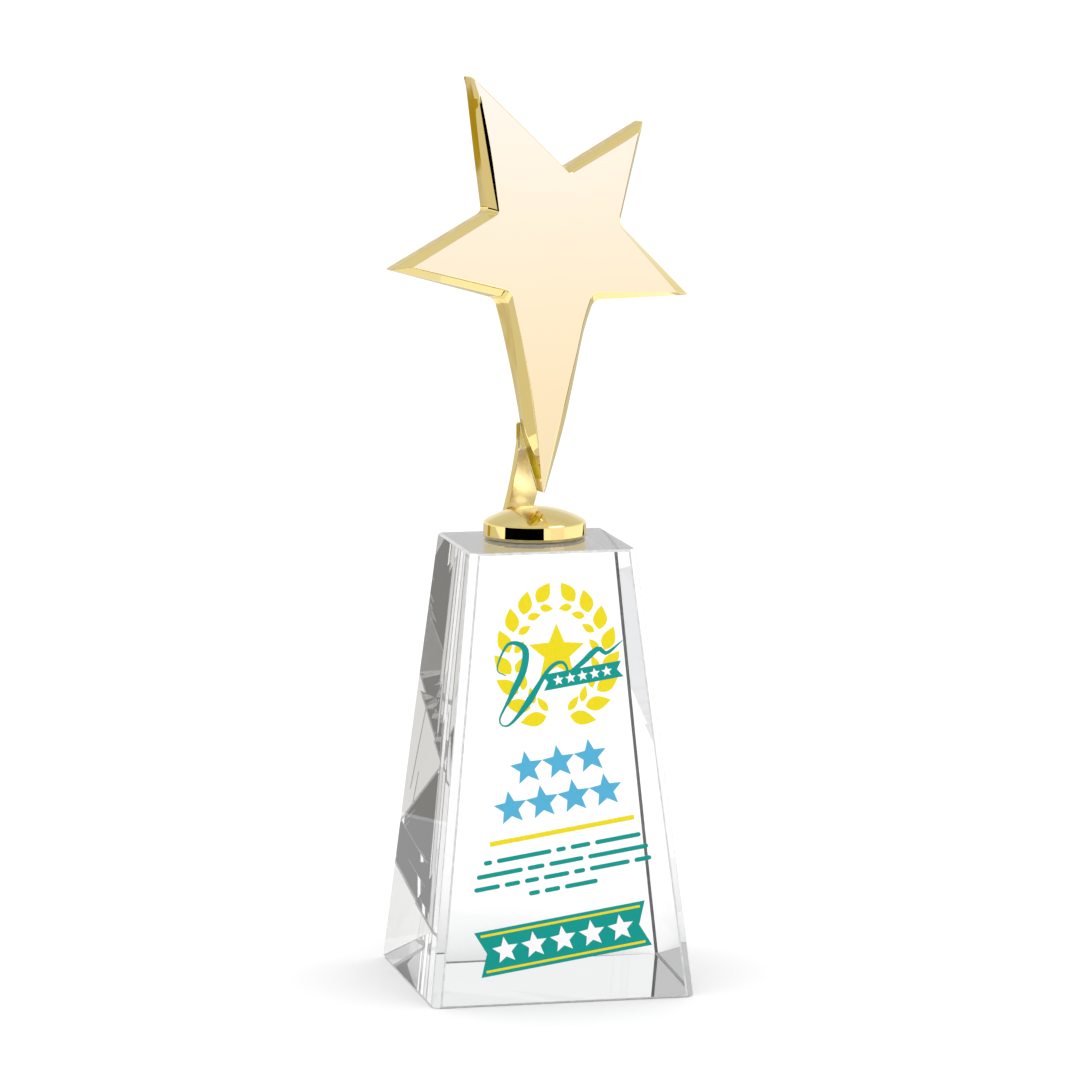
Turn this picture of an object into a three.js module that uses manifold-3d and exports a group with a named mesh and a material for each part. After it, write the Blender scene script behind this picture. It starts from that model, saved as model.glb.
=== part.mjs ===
// A star award: a gold-plated star held from behind by a curved support, which stands on
// a domed collar glued to the top of a tapering optical-crystal pillar.
// Millimetres, +Z up, the front faces -Y, the origin is the centre of the crystal's underside.
import * as THREE from "three";
import { mergeVertices } from "three/addons/utils/BufferGeometryUtils.js";
import Module from "manifold-3d";

const wasm = await Module();
wasm.setup();

// ---------------------------------------------------------------- driving dimensions

const CRYSTAL_HEIGHT = 150;
const CRYSTAL_BASE_WIDTH = 90;
const CRYSTAL_BASE_DEPTH = 87;
const CRYSTAL_TOP_WIDTH = 57;
const CRYSTAL_TOP_DEPTH = 55;
const EDGE_CHAMFER = 1.2;
const RIM_CHAMFER = 0.7;

// The back of the pillar is ground in five flat facets. Each line runs from the left edge
// to the right edge at these heights, and turns the facet below it by the facet tilt.
const FACET_TILT = 0.015;
const FACET_LINES = [
  { left: 95, right: 82 },
  { left: 53.5, right: 82 },
  { left: 35.5, right: 24 },
  { left: 0, right: 24 },
];

const FIGURE_YAW = THREE.MathUtils.degToRad(14);
const FIGURE_OFFSET_X = 1;
const FIGURE_OFFSET_Y = 8;

const GLUE_THICKNESS = 0.2;
const GLUE_RADIUS = 16.5;

const COLLAR_RADIUS = 17.6;
const COLLAR_RIM_HEIGHT = 5.5;
const COLLAR_CAP_HEIGHT = 5;
const COLLAR_WALL = 1.4;
const COLLAR_LIP_HEIGHT = 1.8;
const COLLAR_LIP_INSET = 1;
const COLLAR_SHOULDER = 0.7;
const BOSS_RADIUS = 4.5;

const PLATE_THICKNESS = 0.8;
const PLATE_GAP = 0.3;

const STRAP_WIDTH = 10.2;
const STRAP_FOOT_THICKNESS = 1.9;
const STRAP_FOOT_FRONT = -4.6;
const STRAP_FOOT_BACK = 15.2;
const STRAP_TOP = 39.3;
const STRAP_TOP_THICKNESS = 2.2;

const STAR_THICKNESS = 9;
const STAR_BACK = 1.8;
const STAR_BEVEL_DEPTH = 4;
const STAR_BEVEL_WIDTH = 2.4;
const STAR_VALLEY_ROUNDING = 1.8;

const SCREW_RADIUS = 1.5;
const SCREW_HOLE_RADIUS = 1.7;
const CHEESE_HEAD_RADIUS = 2.75;
const CHEESE_HEAD_HEIGHT = 2;
const HEX_SOCKET_RADIUS = 1.45;
const HEX_SOCKET_DEPTH = 1.2;
const FLAT_WASHER = { outer: 3.5, inner: 1.6, thickness: 0.5 };
const SPRING_WASHER = { outer: 3.1, inner: 1.6, thickness: 0.8, split: 0.8 };
const STAR_SCREW = { x: 1, up: 35.9, headRadius: 2.75, headHeight: 1.65, depth: 5.6 };
const STAR_PIN = { x: 1, up: 31.6, radius: 1, inStrap: 1.3, inStar: 3.2 };
const HOLE_CLEARANCE = 0.1;
const CONTACT_GAP = 0.05;

const ROUND_SEGMENTS = 64;
const SCREW_SEGMENTS = 32;

// ---------------------------------------------------------------- worked-out dimensions

const collarBottom = GLUE_THICKNESS;
const collarRimTop = collarBottom + COLLAR_RIM_HEIGHT;
const collarApex = collarRimTop + COLLAR_CAP_HEIGHT;
const capRadius = (COLLAR_RADIUS ** 2 + COLLAR_CAP_HEIGHT ** 2) / (2 * COLLAR_CAP_HEIGHT);
const capCentre = collarApex - capRadius;
const innerRadius = COLLAR_RADIUS - COLLAR_WALL;
const plateTop = GLUE_THICKNESS + PLATE_THICKNESS;
const headBottom = plateTop + CONTACT_GAP * 2;
const headTop = headBottom + CHEESE_HEAD_HEIGHT;
const springTop = headTop + SPRING_WASHER.thickness;
const footBottom = springTop + FLAT_WASHER.thickness;
const footTop = footBottom + STRAP_FOOT_THICKNESS;
const bossBottom = footTop;
const screwTop = collarApex - COLLAR_WALL - CONTACT_GAP;
const strapFront = STAR_BACK + CONTACT_GAP;
const strapBack = strapFront + STRAP_TOP_THICKNESS;

// ---------------------------------------------------------------- solids and cuts

const FAR = 400;

function toSolid(geometry) {
  const bare = geometry.clone();
  bare.deleteAttribute("normal");
  bare.deleteAttribute("uv");
  const merged = mergeVertices(bare, 1e-4);
  return new wasm.Manifold(
    new wasm.Mesh({
      numProp: 3,
      vertProperties: new Float32Array(merged.attributes.position.array),
      triVerts: new Uint32Array(merged.index.array),
    }),
  );
}

function toGeometry(solid) {
  const mesh = solid.getMesh();
  const geometry = new THREE.BufferGeometry();
  geometry.setAttribute("position", new THREE.BufferAttribute(mesh.vertProperties, 3));
  geometry.setIndex(new THREE.BufferAttribute(mesh.triVerts, 1));
  geometry.computeVertexNormals();
  return geometry;
}

// Cuts away everything beyond the plane through a point with this outward normal.
function cutBeyond(solid, point, normal) {
  const block = new THREE.BoxGeometry(FAR, FAR, FAR);
  block.translate(0, 0, FAR / 2);
  const turn = new THREE.Quaternion().setFromUnitVectors(new THREE.Vector3(0, 0, 1), normal);
  block.applyQuaternion(turn);
  block.translate(point.x, point.y, point.z);
  return solid.subtract(toSolid(block));
}

function uprightCylinder(radius, bottom, top, segments = SCREW_SEGMENTS, tipRadius = radius) {
  const geometry = new THREE.CylinderGeometry(tipRadius, radius, top - bottom, segments);
  geometry.rotateX(Math.PI / 2);
  geometry.translate(0, 0, (bottom + top) / 2);
  return geometry;
}

// A round piece whose profile is a list of [radius, height] points, turned about the Z axis.
function turned(profile, segments) {
  const points = profile.map(([radius, height]) => new THREE.Vector2(radius, height));
  const geometry = new THREE.LatheGeometry(points, segments);
  geometry.rotateX(Math.PI / 2);
  return geometry;
}

function arcPoints(centreRadius, centreHeight, sizeRadius, sizeHeight, from, to, steps) {
  return Array.from({ length: steps + 1 }, (_, i) => {
    const angle = THREE.MathUtils.degToRad(from + ((to - from) * i) / steps);
    return [
      centreRadius + sizeRadius * Math.cos(angle),
      centreHeight + sizeHeight * Math.sin(angle),
    ];
  });
}

function piece(name, geometry, material) {
  const mesh = new THREE.Mesh(geometry, material);
  mesh.name = name;
  return mesh;
}

// ---------------------------------------------------------------- materials

const crystalGlass = new THREE.MeshStandardMaterial({
  color: 0xf7fbfc,
  roughness: 0.02,
  metalness: 0,
  transparent: true,
  opacity: 0.35,
});
const goldPlate = new THREE.MeshStandardMaterial({
  color: 0xe8c66b,
  roughness: 0.06,
  metalness: 1,
});
const clearGlue = new THREE.MeshStandardMaterial({
  color: 0xeef2ee,
  roughness: 0.25,
  metalness: 0,
});
const zincSteel = new THREE.MeshStandardMaterial({
  color: 0xb9bcc0,
  roughness: 0.35,
  metalness: 1,
});

// ---------------------------------------------------------------- crystal pillar

function crystalPillar() {
  const halfWidth = (z) =>
    THREE.MathUtils.lerp(CRYSTAL_BASE_WIDTH, CRYSTAL_TOP_WIDTH, z / CRYSTAL_HEIGHT) / 2;
  const halfDepth = (z) =>
    THREE.MathUtils.lerp(CRYSTAL_BASE_DEPTH, CRYSTAL_TOP_DEPTH, z / CRYSTAL_HEIGHT) / 2;
  const sideSlope = (CRYSTAL_BASE_WIDTH - CRYSTAL_TOP_WIDTH) / 2 / CRYSTAL_HEIGHT;
  const frontSlope = (CRYSTAL_BASE_DEPTH - CRYSTAL_TOP_DEPTH) / 2 / CRYSTAL_HEIGHT;

  const left = new THREE.Vector3(-1, 0, sideSlope).normalize();
  const right = new THREE.Vector3(1, 0, sideSlope).normalize();
  const front = new THREE.Vector3(0, -1, frontSlope).normalize();
  const back = new THREE.Vector3(0, 1, frontSlope).normalize();
  const up = new THREE.Vector3(0, 0, 1);
  const down = new THREE.Vector3(0, 0, -1);

  const corner = (sideX, sideY, z) =>
    new THREE.Vector3(sideX * halfWidth(z), sideY * halfDepth(z), z);

  const block = new THREE.BoxGeometry(
    CRYSTAL_BASE_WIDTH * 2,
    CRYSTAL_BASE_DEPTH * 2,
    CRYSTAL_HEIGHT,
  );
  block.translate(0, 0, CRYSTAL_HEIGHT / 2);
  let solid = toSolid(block);
  solid = cutBeyond(solid, corner(-1, -1, 0), left);
  solid = cutBeyond(solid, corner(1, -1, 0), right);
  solid = cutBeyond(solid, corner(1, -1, 0), front);

  // Signed distance below each facet line, measured in the back face.
  const distances = FACET_LINES.map(({ left: leftHeight, right: rightHeight }) => {
    const start = new THREE.Vector2(-halfWidth(leftHeight), leftHeight);
    const end = new THREE.Vector2(halfWidth(rightHeight), rightHeight);
    const along = end.clone().sub(start).normalize();
    const below = new THREE.Vector2(along.y, -along.x);
    return { below, offset: -below.dot(start) };
  });
  // The first facet leans so far that, with every line's turn, the foot keeps its depth.
  const turnAtFoot = distances.reduce((sum, line) => sum + line.offset * FACET_TILT, 0);
  let slopeX = 0;
  let slopeZ = -frontSlope - turnAtFoot / CRYSTAL_HEIGHT;
  let depth = halfDepth(0) + turnAtFoot;
  const cutFacet = () => {
    const normal = new THREE.Vector3(-slopeX, 1, -slopeZ).normalize();
    solid = cutBeyond(solid, new THREE.Vector3(0, depth, 0), normal);
  };
  cutFacet();
  for (const { below, offset } of distances) {
    slopeX -= FACET_TILT * below.x;
    slopeZ -= FACET_TILT * below.y;
    depth -= FACET_TILT * offset;
    cutFacet();
  }

  // Polished chamfers: four upright edges, then the rims of the top and the base.
  const chamfer = (edgePoint, normalA, normalB, leg) => {
    const normal = normalA.clone().add(normalB).normalize();
    const inset = leg * Math.SQRT1_2;
    solid = cutBeyond(solid, edgePoint.clone().addScaledVector(normal, -inset), normal);
  };
  chamfer(corner(-1, -1, 0), left, front, EDGE_CHAMFER);
  chamfer(corner(1, -1, 0), right, front, EDGE_CHAMFER);
  chamfer(corner(-1, 1, 0), left, back, EDGE_CHAMFER);
  chamfer(corner(1, 1, 0), right, back, EDGE_CHAMFER);
  for (const [z, cap] of [
    [CRYSTAL_HEIGHT, up],
    [0, down],
  ]) {
    chamfer(corner(-1, -1, z), left, cap, RIM_CHAMFER);
    chamfer(corner(1, 1, z), right, cap, RIM_CHAMFER);
    chamfer(corner(-1, -1, z), front, cap, RIM_CHAMFER);
    chamfer(corner(1, 1, z), back, cap, RIM_CHAMFER);
  }
  return piece("crystal_base", toGeometry(solid), crystalGlass);
}

// ---------------------------------------------------------------- collar and what it hides

function adhesiveLayer() {
  return piece(
    "adhesive_layer",
    uprightCylinder(GLUE_RADIUS, 0, GLUE_THICKNESS, ROUND_SEGMENTS),
    clearGlue,
  );
}

function bondPlate() {
  return piece(
    "bond_plate",
    uprightCylinder(innerRadius - PLATE_GAP, GLUE_THICKNESS, plateTop, ROUND_SEGMENTS),
    zincSteel,
  );
}

function domeCollar() {
  const capStep = 3;
  const capAngle = THREE.MathUtils.radToDeg(Math.asin(COLLAR_RADIUS / capRadius));
  const shoulderAngle = 90 - capAngle + capStep / 2;
  const innerCap = capRadius - COLLAR_WALL;
  const ceiling = (radius) => capCentre + Math.sqrt(innerCap ** 2 - radius ** 2);
  const angleAt = (radius, size) => THREE.MathUtils.radToDeg(Math.acos(radius / size));
  const holeTop = screwTop + CONTACT_GAP;

  const profile = [
    [0, holeTop],
    [SCREW_HOLE_RADIUS, holeTop],
    [SCREW_HOLE_RADIUS, bossBottom],
    [BOSS_RADIUS, bossBottom],
    [BOSS_RADIUS, ceiling(BOSS_RADIUS)],
    ...arcPoints(
      0,
      capCentre,
      innerCap,
      innerCap,
      angleAt(BOSS_RADIUS, innerCap),
      angleAt(innerRadius, innerCap),
      6,
    ).slice(1),
    [innerRadius, collarBottom],
    ...arcPoints(
      COLLAR_RADIUS - COLLAR_LIP_INSET,
      collarBottom + COLLAR_LIP_HEIGHT,
      COLLAR_LIP_INSET,
      COLLAR_LIP_HEIGHT,
      -90,
      0,
      4,
    ),
    [COLLAR_RADIUS, collarRimTop - COLLAR_SHOULDER],
    ...arcPoints(0, capCentre, capRadius, capRadius, shoulderAngle, 90, 9).slice(0, -1),
    [0, collarApex],
  ];

  const slotWidth = STRAP_WIDTH + 4 * HOLE_CLEARANCE;
  const slotFront = strapFrontAt(collarApex - COLLAR_WALL) - 2 * HOLE_CLEARANCE;
  const slotBack = STRAP_FOOT_BACK + 2 * HOLE_CLEARANCE;
  const slot = new THREE.BoxGeometry(slotWidth, slotBack - slotFront, collarApex);
  slot.translate(0, (slotFront + slotBack) / 2, footBottom + collarApex / 2);
  const body = toSolid(turned(profile, ROUND_SEGMENTS)).subtract(toSolid(slot));
  return piece("dome_collar", toGeometry(body), goldPlate);
}

function footScrew() {
  const shank = toSolid(uprightCylinder(SCREW_RADIUS, headTop - 1, screwTop));
  const head = toSolid(uprightCylinder(CHEESE_HEAD_RADIUS, headBottom, headTop));
  const socket = uprightCylinder(
    HEX_SOCKET_RADIUS,
    headBottom - 1,
    headBottom + HEX_SOCKET_DEPTH,
    6,
  );
  const solid = head.add(shank).subtract(toSolid(socket));
  return piece("foot_screw", toGeometry(solid), zincSteel);
}

function washerRing({ outer, inner, thickness }, bottom) {
  const top = bottom + thickness;
  const profile = [
    [inner, bottom],
    [outer, bottom],
    [outer, top],
    [inner, top],
    [inner, bottom],
  ];
  return turned(profile, SCREW_SEGMENTS);
}

function footSpringWasher() {
  const { outer, thickness, split } = SPRING_WASHER;
  const gap = new THREE.BoxGeometry(outer * 2, split, thickness * 4);
  gap.translate(-outer, 0, headTop);
  const ring = toSolid(washerRing(SPRING_WASHER, headTop)).subtract(toSolid(gap));
  return piece("foot_spring_washer", toGeometry(ring), zincSteel);
}

function footFlatWasher() {
  return piece("foot_flat_washer", washerRing(FLAT_WASHER, springTop), zincSteel);
}

// ---------------------------------------------------------------- curved support

// Side view of the support as [distance behind the collar's axis, height above the crystal]:
// the front edge leaves the collar leaning forward, then turns upright against the star.
const strapFrontEdge = new THREE.CatmullRomCurve3(
  [
    [12.1, 157.2],
    [9.3, 161.7],
    [6.2, 168.6],
    [3.3, 176.2],
    [strapFront, 180.6],
  ].map(([back, height]) => new THREE.Vector3(back, height - CRYSTAL_HEIGHT, 0)),
);
const strapBackEdge = new THREE.CatmullRomCurve3(
  [
    [strapBack, 182.6],
    [6.6, 175.1],
    [9.5, 168.2],
    [13, 161],
    [STRAP_FOOT_BACK, 157],
  ].map(([back, height]) => new THREE.Vector3(back, height - CRYSTAL_HEIGHT, 0)),
);

function strapFrontAt(height) {
  const points = strapFrontEdge.getPoints(24);
  return Math.min(...points.filter((p) => p.y <= height).map((p) => p.x), points[0].x);
}

function boreAlongY(radius, x, up, from, to, tipRadius = radius) {
  const bore = new THREE.CylinderGeometry(tipRadius, radius, to - from, SCREW_SEGMENTS);
  bore.translate(x, (from + to) / 2, up);
  return bore;
}

function supportStrap() {
  const edgeSteps = 14;
  const topRound = 1.2;
  const outline = new THREE.Shape();
  outline.moveTo(STRAP_FOOT_FRONT, footBottom);
  outline.lineTo(STRAP_FOOT_BACK, footBottom);
  for (const p of strapBackEdge.getPoints(edgeSteps).reverse()) outline.lineTo(p.x, p.y);
  outline.lineTo(strapBack, STRAP_TOP - topRound);
  outline.absarc(strapBack - topRound, STRAP_TOP - topRound, topRound, 0, Math.PI / 2, false);
  outline.lineTo(strapFront, STRAP_TOP);
  for (const p of strapFrontEdge.getPoints(edgeSteps).reverse()) outline.lineTo(p.x, p.y);
  outline.lineTo(strapFrontEdge.getPoint(0).x, footTop);
  outline.lineTo(STRAP_FOOT_FRONT, footTop);
  outline.closePath();

  const body = new THREE.ExtrudeGeometry(outline, {
    depth: STRAP_WIDTH,
    bevelEnabled: false,
    curveSegments: 4,
  });
  body.translate(0, 0, -STRAP_WIDTH / 2);
  const standUp = new THREE.Matrix4().makeBasis(
    new THREE.Vector3(0, 1, 0),
    new THREE.Vector3(0, 0, 1),
    new THREE.Vector3(1, 0, 0),
  );
  body.applyMatrix4(standUp);

  const footHole = uprightCylinder(SCREW_HOLE_RADIUS, footBottom - 1, footTop + 1);
  const { x, up, headRadius, headHeight } = STAR_SCREW;
  const screwHole = boreAlongY(SCREW_HOLE_RADIUS, x, up, strapFront - 1, strapBack + 1);
  const sink = boreAlongY(
    SCREW_RADIUS + HOLE_CLEARANCE,
    x,
    up,
    strapBack - headHeight - HOLE_CLEARANCE,
    strapBack + HOLE_CLEARANCE,
    headRadius + 2 * HOLE_CLEARANCE,
  );
  const pinHole = boreAlongY(
    STAR_PIN.radius + HOLE_CLEARANCE,
    STAR_PIN.x,
    STAR_PIN.up,
    strapFront - 1,
    strapFront + STAR_PIN.inStrap + HOLE_CLEARANCE,
  );
  let solid = toSolid(body);
  for (const cut of [footHole, screwHole, sink, pinHole]) solid = solid.subtract(toSolid(cut));
  return piece("support_strap", toGeometry(solid), goldPlate);
}

// ---------------------------------------------------------------- star

// The star's outer outline, seen from the front, as [right, height above the crystal]:
// points and valleys in turn, clockwise from the top point. The lowest point is a long leg.
// A valley has the length of its rounding along each side, and a point is left sharp.
const STAR_CORNERS = [
  { at: [-25.3, 157] },
  { at: [9.7, 124.9], rounding: STAR_VALLEY_ROUNDING },
  { at: [39.7, 140.4] },
  { at: [30.2, 105.4], rounding: STAR_VALLEY_ROUNDING * 2 },
  { at: [56.8, 80.3] },
  { at: [19.8, 80.4], rounding: STAR_VALLEY_ROUNDING * 2 },
  { at: [2.3, 15.3] },
  { at: [-14.4, 81.8], rounding: STAR_VALLEY_ROUNDING * 2 },
  { at: [-55, 93.3] },
  { at: [-19.3, 111.4], rounding: STAR_VALLEY_ROUNDING },
];

function starOutline() {
  const outline = new THREE.Shape();
  const count = STAR_CORNERS.length;
  STAR_CORNERS.forEach(({ at, rounding }, i) => {
    const here = new THREE.Vector2(...at);
    if (i === 0) {
      outline.moveTo(here.x, here.y);
      return;
    }
    if (!rounding) {
      outline.lineTo(here.x, here.y);
      return;
    }
    const before = new THREE.Vector2(...STAR_CORNERS[(i + count - 1) % count].at);
    const after = new THREE.Vector2(...STAR_CORNERS[(i + 1) % count].at);
    const start = here.clone().addScaledVector(before.sub(here).normalize(), rounding);
    const end = here.clone().addScaledVector(after.sub(here).normalize(), rounding);
    outline.lineTo(start.x, start.y);
    outline.quadraticCurveTo(here.x, here.y, end.x, end.y);
  });
  outline.closePath();
  return outline;
}

function star() {
  const wall = STAR_THICKNESS - STAR_BEVEL_DEPTH;
  const body = new THREE.ExtrudeGeometry(starOutline(), {
    depth: wall,
    curveSegments: 3,
    bevelEnabled: true,
    bevelSegments: 1,
    bevelThickness: STAR_BEVEL_DEPTH,
    bevelSize: STAR_BEVEL_WIDTH,
    bevelOffset: -STAR_BEVEL_WIDTH,
  });
  const faceFront = new THREE.Matrix4().makeBasis(
    new THREE.Vector3(1, 0, 0),
    new THREE.Vector3(0, 0, 1),
    new THREE.Vector3(0, -1, 0),
  );
  body.applyMatrix4(faceFront);
  body.translate(0, STAR_BACK, 0);

  let solid = toSolid(body);
  const backPlane = new THREE.Vector3(0, STAR_BACK, 0);
  solid = cutBeyond(solid, backPlane, new THREE.Vector3(0, 1, 0));
  const screwHole = boreAlongY(
    SCREW_HOLE_RADIUS,
    STAR_SCREW.x,
    STAR_SCREW.up,
    STAR_BACK - STAR_SCREW.depth,
    STAR_BACK + 1,
  );
  const pinHole = boreAlongY(
    STAR_PIN.radius + HOLE_CLEARANCE,
    STAR_PIN.x,
    STAR_PIN.up,
    STAR_BACK - STAR_PIN.inStar - HOLE_CLEARANCE,
    STAR_BACK + 1,
  );
  solid = solid.subtract(toSolid(screwHole)).subtract(toSolid(pinHole));
  return piece("star", toGeometry(solid), goldPlate);
}

function starScrew() {
  const { x, up, headRadius, headHeight, depth } = STAR_SCREW;
  const tip = STAR_BACK - depth + 2 * HOLE_CLEARANCE;
  const headBase = strapBack - headHeight;
  const shank = toSolid(boreAlongY(SCREW_RADIUS, x, up, tip, headBase + HOLE_CLEARANCE));
  const head = toSolid(boreAlongY(SCREW_RADIUS, x, up, headBase, strapBack, headRadius));
  const socket = new THREE.CylinderGeometry(
    HEX_SOCKET_RADIUS,
    HEX_SOCKET_RADIUS,
    2 * HEX_SOCKET_DEPTH,
    6,
  );
  socket.translate(x, strapBack, up);
  const solid = head.add(shank).subtract(toSolid(socket));
  return piece("star_screw", toGeometry(solid), zincSteel);
}

function starPin() {
  const { x, up, radius, inStrap, inStar } = STAR_PIN;
  const geometry = boreAlongY(radius, x, up, STAR_BACK - inStar, strapFront + inStrap);
  return piece("star_pin", geometry, zincSteel);
}

// ---------------------------------------------------------------- assembly

const figure = new THREE.Group();
figure.position.set(FIGURE_OFFSET_X, FIGURE_OFFSET_Y, CRYSTAL_HEIGHT);
figure.rotation.z = FIGURE_YAW;
figure.add(adhesiveLayer(), bondPlate(), domeCollar());
figure.add(footScrew(), footSpringWasher(), footFlatWasher());
figure.add(supportStrap(), star(), starScrew(), starPin());

const group = new THREE.Group();
group.add(crystalPillar(), figure);

export default group;
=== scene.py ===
import math

import bmesh
import bpy
from mathutils import Matrix, Vector


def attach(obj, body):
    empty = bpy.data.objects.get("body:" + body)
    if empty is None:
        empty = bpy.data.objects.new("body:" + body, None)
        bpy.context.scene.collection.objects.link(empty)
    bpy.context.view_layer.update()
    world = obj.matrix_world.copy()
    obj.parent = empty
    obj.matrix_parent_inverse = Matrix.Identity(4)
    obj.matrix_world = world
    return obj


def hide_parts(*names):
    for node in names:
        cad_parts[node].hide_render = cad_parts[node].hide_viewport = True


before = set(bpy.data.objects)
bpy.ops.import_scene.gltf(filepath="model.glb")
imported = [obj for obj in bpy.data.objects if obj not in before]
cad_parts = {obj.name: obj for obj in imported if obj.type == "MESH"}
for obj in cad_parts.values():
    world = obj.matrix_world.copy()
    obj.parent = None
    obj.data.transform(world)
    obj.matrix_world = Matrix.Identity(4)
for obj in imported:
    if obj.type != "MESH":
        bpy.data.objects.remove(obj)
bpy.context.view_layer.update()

MM = 0.001

# ------------------------------------------------------------------ sizes, in millimetres

HEIGHT = 150.0                  # crystal
BASE = (90.0, 87.0)             # width and depth at the foot
TOP = (57.0, 55.0)
REAR_CHAMFER = 0.55
FRONT_CHAMFER = 2.8
ARRIS = 0.22                    # the narrow line on each side of a front chamfer
RIM_CHAMFER = 0.7
FACET_TILT = 0.015              # change of slope from one rear facet to the next
# The lines between the rear facets, from the top, each by its height at the left and the right.
FACET_LINES = [(95.0, 82.0), (53.5, 82.0), (35.5, 24.0), (0.0, 24.0)]

FIGURE_YAW = math.radians(14.0)
FIGURE = Matrix.Translation((1.0, 8.0, HEIGHT)) @ Matrix.Rotation(FIGURE_YAW, 4, "Z")

STAR_FACE, STAR_FOLD, STAR_BACK = -7.2, -3.2, 1.8   # depths of the star's three outlines

ON_AXIS = 1e-6                  # a radius below this is none
SPLINE_DENSITY = 20             # steps between two given points of a curve, before even spacing


# ------------------------------------------------------------------ mesh helpers

def mesh_object(name, bm, place=None, smooth=True):
    """A scene object from a bmesh in millimetres, its vertices in the row frame in metres."""
    if place is not None:
        bmesh.ops.transform(bm, matrix=place, verts=bm.verts)
    bmesh.ops.scale(bm, vec=(MM, MM, MM), verts=bm.verts)
    bmesh.ops.recalc_face_normals(bm, faces=bm.faces)
    for face in bm.faces:
        face.smooth = smooth
    mesh = bpy.data.meshes.new(name)
    bm.to_mesh(mesh)
    bm.free()
    obj = bpy.data.objects.new(name, mesh)
    bpy.context.collection.objects.link(obj)
    return obj


def weighted(obj):
    """Keeps large flat faces flat where they meet narrow rounded edges."""
    mod = obj.modifiers.new("normals", "WEIGHTED_NORMAL")
    mod.mode = "FACE_AREA"
    mod.weight = 90
    mod.keep_sharp = True
    return obj


def loft(bm, rings):
    """A closed skin over rings that match point for point, capped at both ends."""
    rows = [[bm.verts.new(p) for p in ring] for ring in rings]
    count = len(rows[0])
    for a, b in zip(rows, rows[1:]):
        for i in range(count):
            j = (i + 1) % count
            bm.faces.new((a[i], a[j], b[j], b[i]))
    bm.faces.new(list(reversed(rows[0])))
    bm.faces.new(rows[-1])
    return rows


def lathe(bm, profile, segments):
    """Turns [radius, height] points about Z. A point with no radius closes the surface."""
    rows = []
    for radius, height in profile:
        if radius < ON_AXIS:
            rows.append([bm.verts.new((0, 0, height))])
            continue
        ring = []
        for i in range(segments):
            a = 2 * math.pi * i / segments
            ring.append(bm.verts.new((radius * math.cos(a), radius * math.sin(a), height)))
        rows.append(ring)
    for a, b in zip(rows, rows[1:]):
        for i in range(segments):
            j = (i + 1) % segments
            if len(a) == 1:
                bm.faces.new((a[0], b[i], b[j]))
            elif len(b) == 1:
                bm.faces.new((a[i], b[0], a[j]))
            else:
                bm.faces.new((a[i], b[i], b[j], a[j]))


def arc(centre_r, centre_h, size_r, size_h, start, end, steps):
    """Points [radius, height] on an ellipse's arc, its angles in degrees."""
    out = []
    for i in range(steps + 1):
        a = math.radians(start + (end - start) * i / steps)
        out.append((centre_r + size_r * math.cos(a), centre_h + size_h * math.sin(a)))
    return out


def quad_bezier(a, b, c, steps):
    out = []
    for i in range(steps + 1):
        t = i / steps
        out.append(a * (1 - t) ** 2 + b * (2 * t * (1 - t)) + c * t ** 2)
    return out


def spline(points, count):
    """count + 2 points, ends included, evenly spaced along a curve through the given points."""
    if len(points) == 2:
        return [points[0].lerp(points[1], i / (count + 1)) for i in range(count + 2)]
    dense = []
    padded = [points[0] * 2 - points[1]] + points + [points[-1] * 2 - points[-2]]
    for k in range(1, len(padded) - 2):
        p0, p1, p2, p3 = padded[k - 1:k + 3]
        for i in range(SPLINE_DENSITY):
            t = i / SPLINE_DENSITY
            dense.append(0.5 * (p1 * 2 + (p2 - p0) * t + (p0 * 2 - p1 * 5 + p2 * 4 - p3) * t ** 2
                                + (p1 * 3 - p0 - p2 * 3 + p3) * t ** 3))
    dense.append(points[-1])
    lengths = [0.0]
    for a, b in zip(dense, dense[1:]):
        lengths.append(lengths[-1] + (b - a).length)
    out, k = [], 0
    for i in range(count + 2):
        want = lengths[-1] * i / (count + 1)
        while k < len(dense) - 2 and lengths[k + 1] < want:
            k += 1
        span = lengths[k + 1] - lengths[k]
        out.append(dense[k].lerp(dense[k + 1], (want - lengths[k]) / span))
    return out


# ------------------------------------------------------------------ materials

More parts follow.
